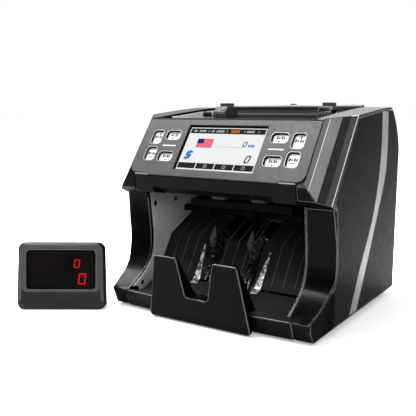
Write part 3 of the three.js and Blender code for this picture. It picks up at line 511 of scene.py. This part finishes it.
# Stacker plate: spacing of its ribs, foot and places of its cheeks, half its width
RIB_PITCH = 13.6
CHEEK_RISE = 60
CHEEKS = (17, 33)
PLATE_HALF = 96.3
# Base tray: the pocket's floor lies between these heights
FLOOR_FROM = 18
RIM_HEIGHT = 45
# Side cover: its edges are plain, as painted shade, below the first height and the left one's above the
# second
FOOT_HEIGHT = 22
SHOULDER_HEIGHT = 120
# The right cover's edges get a painted highlight beyond these: across, up the panel, out of it
PALE_ACROSS = 128
PALE_UP = -12
PALE_OUT = -27


def shoulder_paint(middle, normal):
    """Each band of the stepped shoulder has its own grey, and undersides are painted shade black.

    The right cover's top is lighter than the left one's. That stands for the light on it: the
    two covers are taken to have one finish.
    """
    side, _, out = PANEL.inverted() @ middle
    across = abs(side)
    for (u0, n0), (u1, n1), finish in zip(SHOULDER, SHOULDER[1:], SHOULDER_FINISH):
        level = n0 + (n1 - n0) * (across - u0) / (u1 - u0)
        if u0 < across < u1 and abs(out - level) < 0.5:
            return finish
    if normal.z < -0.2:
        return "shade_black"
    if normal.z > TOP_SLOPE and middle.z > TOP_FROM:
        return "top_grey" if side > 0 else "satin_black"
    return None


def stacker_paint(middle, normal):
    """Tops of the ribs and the cheeks beside the wheels are painted lighter than the plate, as painted
    light.
    """
    across, _, up = MACHINE.inverted() @ middle
    if abs(normal.x) > 0.8:
        from_cheek = min(abs(abs(across) - x) for x in CHEEKS)
        return "lit_cheek_grey" if up > CHEEK_RISE and from_cheek < 1.5 else None
    pitch = across / RIB_PITCH
    on_rib = abs(pitch - round(pitch)) * RIB_PITCH < 0.1 and normal.z > 0.3
    return "lit_rib_grey" if on_rib and abs(across) < PLATE_HALF - 5 else None


def plate_paint(middle, normal):
    """The cut edges of the chassis plates are painted dark, as painted shade."""
    return "sheet_edge_shade" if abs(normal.x) < 0.5 else None


def tray_paint(middle, normal):
    """The pocket's floor is satin, and painted lighter for the light on it; the rest of the tray is
    glossy.
    """
    in_pocket = FLOOR_FROM < middle.z / MM < RIM_HEIGHT
    return "slide_black" if normal.z > 0.8 and in_pocket else None


def cover_edge(middle):
    """Edges are polished, with a painted highlight where the right shoulder's outer edge catches the
    light.

    At the foot, and high up on the left cover, they are as black as the cover, as painted shade.
    """
    across, up, out = PANEL.inverted() @ middle
    height = middle.z / MM
    if height < FOOT_HEIGHT or across < 0 and height > SHOULDER_HEIGHT:
        return "gloss_black"
    pale = across > PALE_ACROSS and out > PALE_OUT and up > PALE_UP
    return "edge_highlight_grey" if pale else "edge_gloss"


def hopper_paint(middle, normal):
    """The hopper's rear lip is painted lighter than its wall where it faces up: painted light from above.
    """
    if normal.z > 0.3 and middle.z > LIP_FROM:
        return "lit_lip_grey"
    return None


def make_casing():
    for node, material, slot, bevel in CASING:
        moulding(node, material, bevel)
    for stem, material, slot, bevel in PAIRED:
        for side, _ in SIDES:
            moulding(f"{stem}_{side}", material, bevel)
    moulding("base_tray", "gloss_black", 1.1, 35, tray_paint, edge="edge_gloss")
    moulding("bill_stop", "gloss_black", 1.1, 35, edge="edge_gloss")
    moulding("stacker_plate", "slide_black", 0.25, repaint=stacker_paint)
    moulding("hopper_back", "hopper_grey", 0.5, repaint=hopper_paint)
    for side, sign in SIDES:
        moulding(
            f"side_cover_{side}", "gloss_black", 0.7, 20, shoulder_paint, 0.7, cover_edge)
        moulding(f"side_panel_{side}", "panel_black", 0.6, 35, None, 0.5, "edge_gloss")
        moulding(f"chassis_plate_{side}", "zinc_plate", 0.2, 35, plate_paint)
        foot_highlight(side, sign)
        crease_highlight(side, sign)


def foot_highlight(side, sign):
    """Pale strip along the panel's foot, under the overlay's corner: a painted highlight on the housing's
    edge.
    """
    strip = Maker(PANEL)
    a, b = sorted((sign * 80.6, sign * 98.4))
    strip.prism(rectangle(a, b, -9.3, -7.7), -1.75, -0.5, "foot_highlight_grey")
    strip.object(f"foot_highlight_{side}", "chassis", 0.3)


def crease_highlight(side, sign):
    """Pale line on the crease between the shoulder's first two bands: a painted highlight."""
    across, out = SHOULDER[1]
    turn = Matrix.Translation((sign * across, 0, out)) @ Matrix.Rotation(sign * math.radians(44), 4, "Y")
    line = Maker(PANEL @ turn)
    line.prism(rectangle(-0.35, 0.35, -12.4, 69), -0.2, 0.12, "edge_highlight_grey")
    line.object(f"crease_highlight_{side}", "chassis", 0.08)


# ---------------------------------------------------------------- what turns
TURNING = (
    ("feed_shaft", "bright_steel", "bright_steel"),
    ("stacker_shaft", "bright_steel", "bright_steel"),
    ("motor_pulley", "bright_steel", "bright_steel"),
    ("feed_roller", "rubber", "rubber"),
    ("pickup_roller", "rubber", "rubber"),
    ("retard_roller", "rubber", "rubber"),
    # the delivery roller is painted shade black in place of its rubber
    ("delivery_roller", "shade_black", "rubber"),
    ("feed_belt", "belt_rubber", "belt_rubber"),
    ("stacker_belt", "belt_rubber", "belt_rubber"),
    ("drive_motor", "zinc_plate", "zinc_plate"),
)


def make_turning_parts():
    for node, material, slot in TURNING:
        moulding(node, material, 0.2, 40)
    for side, _ in SIDES:
        make_impeller(f"impeller_{side}")


HUB_RADIUS = 13
BORE_RADIUS = 4.3
FIN_ROWS = (-3.3, 0, 3.3)
FINS_IN_ROW = 18
FIN_HALF = 1.25  # half width of a fin along the shaft


def fin_outline(turn):
    """Curved finger that thins towards its tip; x and y are square to the shaft."""
    spine = [(11.5, 0), (17, 2.2), (22, 5.4), (27, 9.4), (31.2, 14), (34, 18.4)]
    thick = (1.3, 1.0, 0.8, 0.65, 0.55, 0.4)
    upper = [(r, t + w) for (r, t), w in zip(spine, thick)]
    lower = [(r, t - w) for (r, t), w in zip(spine, thick)]
    c, s = math.cos(turn), math.sin(turn)
    return [(x * c - y * s, x * s + y * c) for x, y in lower + upper[::-1]]


def make_impeller(node):
    """Stacker wheel: three rows of curved rubber fins on a plain hub, each row turned a little."""
    low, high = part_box(node)
    middle = (low + high) / 2
    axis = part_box("stacker_shaft")
    middle.y = (axis[0].y + axis[1].y) / 2
    middle.z = (axis[0].z + axis[1].z) / 2
    place = Matrix.Translation(middle) @ Matrix.Rotation(math.pi / 2, 4, "Y") @ Matrix.Scale(MM, 4)
    wheel = Maker(place)
    wheel.prism(circle(HUB_RADIUS, 40), -5, 5, "fin_rubber", holes=[circle(BORE_RADIUS, 24)])
    for row, offset in enumerate(FIN_ROWS):
        for i in range(FINS_IN_ROW):
            turn = 2 * math.pi * (i + row / len(FIN_ROWS)) / FINS_IN_ROW
            wheel.prism(fin_outline(turn), offset - FIN_HALF, offset + FIN_HALF, "fin_rubber")
    wheel.object(f"{node}_fins", body_of(node), 0.15, replaces=(node,))


# ---------------------------------------------------------------- electronics inside
def make_electronics():
    moulding("main_board", "circuit_board", 0)
    moulding("key_board", "circuit_board", 0)
    moulding("power_supply", "zinc_plate", 0.6)


# ---------------------------------------------------------------- screen
SCREEN_TOP = -2.6  # face of the glass, out of the panel plane
SCREEN_HALF = 46.6
HEADER = (47.6, 54.2)
FOOTER = (2.9, 9.9)
HEADER_MARKS = (
    # start and width of each mark on the header bar
    (-43, 4), (-36, 9), (-24, 1), (-20, 3.4), (-14, 10), (-1, 0.8), (21, 0.8), (24, 9), (38, 0.8),
)


def italic_zero(maker, x, y, width, height, stroke, material, low, high, lean=0.2):
    outer = rounded_rectangle(0, width, 0, height, width * 0.48, 6)
    inner = rounded_rectangle(stroke, width - stroke, stroke, height - stroke, width * 0.48 - stroke, 6)
    move = lambda outline: [(x + a, y + b) for a, b in slanted(outline, lean)]
    maker.prism(move(outer), low, high, material, holes=[move(inner)])


def make_screen():
    low = SCREEN_TOP
    high = SCREEN_TOP + 0.06
    moulding("screen_panel", "lcd_white", 0)
    picture = Maker(PANEL)
    picture.prism(rectangle(-SCREEN_HALF, SCREEN_HALF, *HEADER), low, high, "lcd_black")
    gap = 1.1
    width = (2 * SCREEN_HALF - 3 * gap) / 4
    for i in range(4):
        x0 = -SCREEN_HALF + i * (width + gap)
        picture.prism(rectangle(x0, x0 + width, *FOOTER), low, high, "lcd_black")
    marks(picture, high, high + 0.03)
    picture.prism(rectangle(-33, -24.6, 34.8, 40.8), low, high, "lcd_navy")
    picture.prism([(-33, 29.4), (-12.6, 29.4), (-12.6, 40.8), (-24.6, 40.8), (-24.6, 34.8), (-33, 34.8)],
                  low, high, "lcd_rose")
    picture.prism(rectangle(-8.2, 26.6, 30.9, 31.3), low, high, "lcd_grey")
    italic_zero(picture, 24.6, 31.6, 4.4, 7, 1.05, "lcd_black", low, high)
    italic_zero(picture, 32.4, 12.2, 6.2, 9.8, 1.5, "lcd_black", low, high)
    for i in range(3):
        x0 = 31.4 + 2.7 * i
        picture.prism(slanted(rectangle(x0, x0 + 2.1, 0, 2.9), 0.1), low, high, "lcd_blue",
                      at=Matrix.Translation((0, 32, 0)))
    coin(picture, low, high)
    picture.object("screen_picture", "chassis")


def marks(picture, low, high):
    """Light marks on the header and footer bars, standing for status icons."""
    y0, y1 = HEADER
    for x, width in HEADER_MARKS:
        picture.prism(slanted(rectangle(x, x + width, 2, 4.4), 0.15), low, high, "lcd_grey",
                      at=Matrix.Translation((0, y0, 0)))
    picture.prism(rectangle(5, 15.6, y0 + 1.7, y1 - 1.7), low, high, "lcd_orange")
    middle = (FOOTER[0] + FOOTER[1]) / 2
    for x in (-11.5, 12, 35):
        hole = circle(1.3, 20, x, middle)
        picture.prism(circle(2.1, 20, x, middle), low, high, "lcd_grey", holes=[hole])


def coin(picture, low, high):
    """Blue money sign: two opposed hooks crossed by a bar, leaning."""
    move = lambda outline: [(x - 43.2, y + 14.2) for x, y in slanted(outline, 0.25)]
    upper = [(0, 4.3), (7.4, 4.3), (7.4, 6.4), (2.6, 6.4), (2.6, 7.8), (7.4, 7.8), (7.4, 10.2), (0, 10.2)]
    lower = [(7.4 - x, 10.7 - y) for x, y in upper]
    picture.prism(move(upper), low, high, "lcd_blue")
    picture.prism(move(lower), low + 0.01, high + 0.01, "lcd_blue")
    picture.prism(move(rectangle(2.8, 4.6, -1, 11.7)), low + 0.02, high + 0.02, "lcd_blue")


# ---------------------------------------------------------------- keys
KEYS = {
    # name: the opening's extent across and up the panel
    "print": (57, 75.5, 37, 48.7),
    "mode": (57, 75.5, 9, 20.9),
    "batch": (81, 94.5, 31, 48.7),
    "clear": (81, 94.5, 9, 26.5),
}
CAP_TOP = -2.2  # top of a key cap, out of the panel plane
MARK_PITCH = 2.6
MARKS = ((3.6, 1.9), (3.0, 1.5), (3.6, 2.0), (3.0, 1.7))  # height and width of each stroke


def key_symbol(maker, kind, x, y):
    """Small printed figures: a row of short strokes like a legend, and one plain sign."""
    low, high = CAP_TOP, CAP_TOP + 0.05
    for i, (rise, width) in enumerate(MARKS):
        x0 = x + (i - 2) * MARK_PITCH + 0.4
        maker.prism(slanted(rectangle(x0, x0 + width, 0, rise), 0.1), low, high, "ink",
                    at=Matrix.Translation((0, y - 0.6, 0)))
    if kind == "print":
        maker.prism(circle(1.1, 16, x - 1, y - 3), low, high, "ink")
    elif kind == "mode":
        maker.prism([(x - 1.5, y - 4.1), (x + 1.5, y - 4.1), (x, y - 1.9)], low, high, "ink")
    elif kind == "batch":
        maker.prism(circle(1.3, 16, x + 1, y + 5), low, high, "ink")
    else:
        maker.prism(rectangle(x - 3, x + 3, y - 3.6, y - 2.6), low, high, "ink")


def chamfered(x0, x1, y0, y1, cut):
    return rounded_rectangle(x0, x1, y0, y1, cut, 1)


def key_surround(maker, u0, u1, v0, v1):
    """Fine raised lip round a key's opening, painted light grey as a highlight on its edge."""
    outer = chamfered(u0 - 0.75, u1 + 0.75, v0 - 0.75, v1 + 0.75, 2.7)
    inner = chamfered(u0 - 0.15, u1 + 0.15, v0 - 0.15, v1 + 0.15, 2.45)
    maker.prism(outer, -0.1, 0.18, "lit_lip_grey", holes=[inner])


def make_keys():
    for side, sign in SIDES:
        surround = Maker(PANEL)
        for kind, (inner, outer, v0, v1) in KEYS.items():
            name = f"key_{kind}_{side}"
            u0, u1 = sorted((sign * inner, sign * outer))
            # the caps' rounded edges are painted darker with key_shade, as painted shade
            moulding(name, "key_white", 0.6, edge="key_shade")
            legend = Maker(PANEL)
            key_symbol(legend, kind, (u0 + u1) / 2, (v0 + v1) / 2)
            # painted shadow strips along each cap's top and left side, carried with its legend
            upper_shadow = rectangle(u0 + 2.4, u1 - 2.4, v1 - 2.6, v1 - 1.5)
            left_shadow = rectangle(u0 + 1.5, u0 + 2, v0 + 2.6, v1 - 3)
            for outline in (upper_shadow, left_shadow):
                legend.prism(outline, CAP_TOP, CAP_TOP + 0.04, "key_shade")
            legend.object(f"{name}_legend", name)
            key_surround(surround, u0, u1, v0, v1)
        surround.object(f"key_surrounds_{side}", "chassis", 0.06)
        light_bar(side, sign)


def light_bar(side, sign):
    """Thin white bar between the upper and the lower keys."""
    bar = Maker(PANEL)
    a, b = sorted((sign * 57.5, sign * 75))
    bar.prism(rectangle(a, b, 28.1, 29.5), -0.1, 0.25, "key_white")
    bar.object(f"light_bar_{side}", "chassis", 0.12)


# ---------------------------------------------------------------- customer display
SEGMENT_GAP = 0.35
CHIN_TOP = 19.5  # the face below this height is painted darker, as painted shade
FACE_HALF = 51  # half width of the face at its foot
FACE_TAPER = 0.022  # the face narrows upwards by this share of its height
VIEW = (-38.8, 38.8, 24, 68)  # window opening: across, up


def face_loop(side, foot, head, radius, out):
    """Ring of the face: side inset, foot and head heights, corner radius, height out of the face."""
    half = FACE_HALF - side
    loop = rounded_rectangle(-half, half, foot, head, radius, 6)
    return [Vector((x - math.copysign(FACE_TAPER * y, x), y, out)) for x, y in loop]


def view_loop(grow_side, grow_foot, grow_head, radius, out):
    x0, x1, y0, y1 = VIEW
    loop = rounded_rectangle(x0 - grow_side, x1 + grow_side, y0 - grow_foot, y1 + grow_head, radius, 6)
    return [Vector((x, y, out)) for x, y in loop]


def make_display_front():
    """Face with a soft, darker outer edge and a raised frame round the sunken window."""
    rings = (
        # loop, finish of the band that runs on to the next loop
        (face_loop(1.6, 3.2, 75.3, 8, -13), "display_rim"),
        (face_loop(0, 1.6, 77.1, 8, -7.5), "display_rim"),
        (face_loop(0, 1.0, 77.2, 8, -5.5), "display_rim"),
        (face_loop(0.9, 0.9, 76.2, 8, -3.2), "display_rim"),
        (face_loop(2.6, 1.9, 74.6, 7.6, -1.7), "display_grey"),
        (face_loop(5, 4.4, 72.8, 7, -0.9), "display_grey"),
        (view_loop(6.2, 18.6, 4.2, 6.6, -0.8), "display_grey"),
        (view_loop(5.2, 3.2, 3.6, 6, -0.7), "display_grey"),
        (view_loop(4.4, 2.2, 2.8, 5.6, -0.1), "display_grey"),
        (view_loop(1.4, 0.8, 1.1, 4.6, 0), "display_frame"),
        (view_loop(0.5, 0.3, 0.4, 4.2, -0.5), "display_rim"),
        (view_loop(0, 0, 0, 4, -1.6), "display_rim"),
        (view_loop(0, 0, 0, 4, -4.4), "display_rim"),
        (face_loop(3.4, 4.6, 73.2, 6, -4.4), "display_rim"),
        (face_loop(4, 5, 73, 6, -13), "display_rim"),
    )
    work = bmesh.new()
    finishes = ["display_rim", "display_grey", "display_frame"]
    corners = [[work.verts.new(FACE @ p) for p in loop] for loop, _ in rings]
    for (_, finish), a, b in zip(rings, corners, corners[1:] + corners[:1]):
        for i in range(len(a)):
            j = (i + 1) % len(a)
            band = work.faces.new((a[i], a[j], b[j], b[i]))
            up = (FACE.inverted() @ band.calc_center_median()).y
            # the chin gets the dark rim finish as painted shade
            chin = finish == "display_grey" and up < CHIN_TOP
            band.material_index = finishes.index("display_rim" if chin else finish)
    bmesh.ops.recalc_face_normals(work, faces=work.faces)
    placed(work, "display_face", "customer_display", finishes, 0, 35, ("display_front",))


def segment_zero(maker, x, y, width, height, stroke, low, high, lean=0.12):
    """Figure 0 of a seven-segment display: six lit bars with mitred ends."""
    middle = height / 2
    gap = SEGMENT_GAP / 2

    def bar(length, cut):
        end = length - gap
        return [(gap, 0), (end, 0), (end - cut, stroke), (gap + stroke, stroke)]

    across = bar(width, stroke)
    beside = bar(middle, 0)
    runs = [across, [(a, height - b) for a, b in across]]
    for x_side in (0, width):
        for y_side in (0, height):
            runs.append([(abs(x_side - b), abs(y_side - a)) for a, b in beside])
    for outline in runs:
        maker.prism([(x + a, y + b) for a, b in slanted(outline, lean)], low, high, "digit_red")


def make_customer_digits():
    digits = Maker(FACE)
    low = -4.55
    segment_zero(digits, 13.4, 47.8, 6.6, 9.4, 1.1, low, low + 0.08)
    segment_zero(digits, 18.2, 29.1, 8.4, 12.6, 1.4, low, low + 0.08)
    digits.object("display_digits", "customer_display")


# ---------------------------------------------------------------- stage, lights, camera
def make_stage():
    mesh = bpy.data.meshes.new("floor")
    size = 12
    corners = [(x, y, 0) for x, y in rectangle(-size, size, -size, size)]
    mesh.from_pydata(corners, [], [(0, 1, 2, 3)])
    floor = bpy.data.objects.new("floor", mesh)
    bpy.context.scene.collection.objects.link(floor)
    shader = Shader("pale_floor", Roughness=0.75, Specular_IOR_Level=0.2)
    shader.surface.inputs["Emission Color"].default_value = (1, 1, 1, 1)
    shader.surface.inputs["Emission Strength"].default_value = 0.28
    shader.colour(shader.noise(400, 2), grey(0.86), grey(0.9))
    mesh.materials.append(shader.material)


def area_light(name, at, towards, size, power):
    data = bpy.data.lights.new(name, "AREA")
    data.shape = "RECTANGLE"
    data.size, data.size_y = size
    data.energy = power
    light = bpy.data.objects.new(name, data)
    light.location = at
    light.rotation_euler = (Vector(towards) - Vector(at)).to_track_quat("-Z", "Y").to_euler()
    light.visible_camera = False
    bpy.context.scene.collection.objects.link(light)


def make_sky():
    """Pale band round the horizon, dimmer overhead, so glossy edges stay crisp."""
    world = bpy.data.worlds.new("studio")
    bpy.context.scene.world = world
    world.use_nodes = True
    tree = world.node_tree
    background = tree.nodes["Background"]
    direction = tree.nodes.new("ShaderNodeTexCoord")
    split = tree.nodes.new("ShaderNodeSeparateXYZ")
    ramp = tree.nodes.new("ShaderNodeValToRGB")
    tree.links.new(direction.outputs["Generated"], split.inputs["Vector"])
    tree.links.new(split.outputs["Z"], ramp.inputs["Fac"])
    tree.links.new(ramp.outputs["Color"], background.inputs["Color"])
    stops = ((0.0, 1.0), (0.19, 1.0), (0.32, 0.14), (1.0, 0.14))
    while len(ramp.color_ramp.elements) < len(stops):
        ramp.color_ramp.elements.new(0.5)
    for element, (position, value) in zip(ramp.color_ramp.elements, stops):
        element.position = position
        element.color = (value, value, value, 1)
    background.inputs["Strength"].default_value = 1.0


LIGHTS = (
    # name, place in metres, size, power in watts
    ("key", (-0.75, 0.0, 1.3), (0.36, 1.5), 62),
    ("right_front", (1.25, -1.15, 0.9), (0.5, 0.5), 14),
    ("high_front", (-0.46, -0.42, 1.33), (0.62, 0.3), 26),
)


def make_lights():
    middle = (0.03, 0.0, 0.1)
    for name, at, size, power in LIGHTS:
        area_light(name, at, middle, size, power)
    sun = bpy.data.lights.new("overhead", "SUN")
    sun.energy = 2.9
    sun.angle = math.radians(120)
    light = bpy.data.objects.new("overhead", sun)
    light.rotation_euler = (math.radians(-12), math.radians(-14), 0)
    bpy.context.scene.collection.objects.link(light)


CAMERA_AT = (353.97, -534.44, 220.78)  # in the machine's frame
CAMERA_TURN = (81.357, -0.149, 33.412)  # degrees about X, Y and Z
SENSOR_WIDTH = 36
FOCAL_LENGTH = 54.135


def make_camera():
    data = bpy.data.cameras.new("camera")
    data.sensor_width = SENSOR_WIDTH
    data.lens = FOCAL_LENGTH
    camera = bpy.data.objects.new("camera", data)
    camera.location = MACHINE @ Vector(CAMERA_AT)
    camera.rotation_euler = [math.radians(angle) for angle in CAMERA_TURN]
    bpy.context.scene.collection.objects.link(camera)
    bpy.context.scene.camera = camera


make_camera()
make_stage()
make_sky()
make_lights()
make_casing()
make_turning_parts()
make_electronics()
make_screen()
make_keys()
make_display_front()
make_customer_digits()
bpy.context.scene.view_settings.view_transform = "Standard"

bpy.context.view_layer.update()
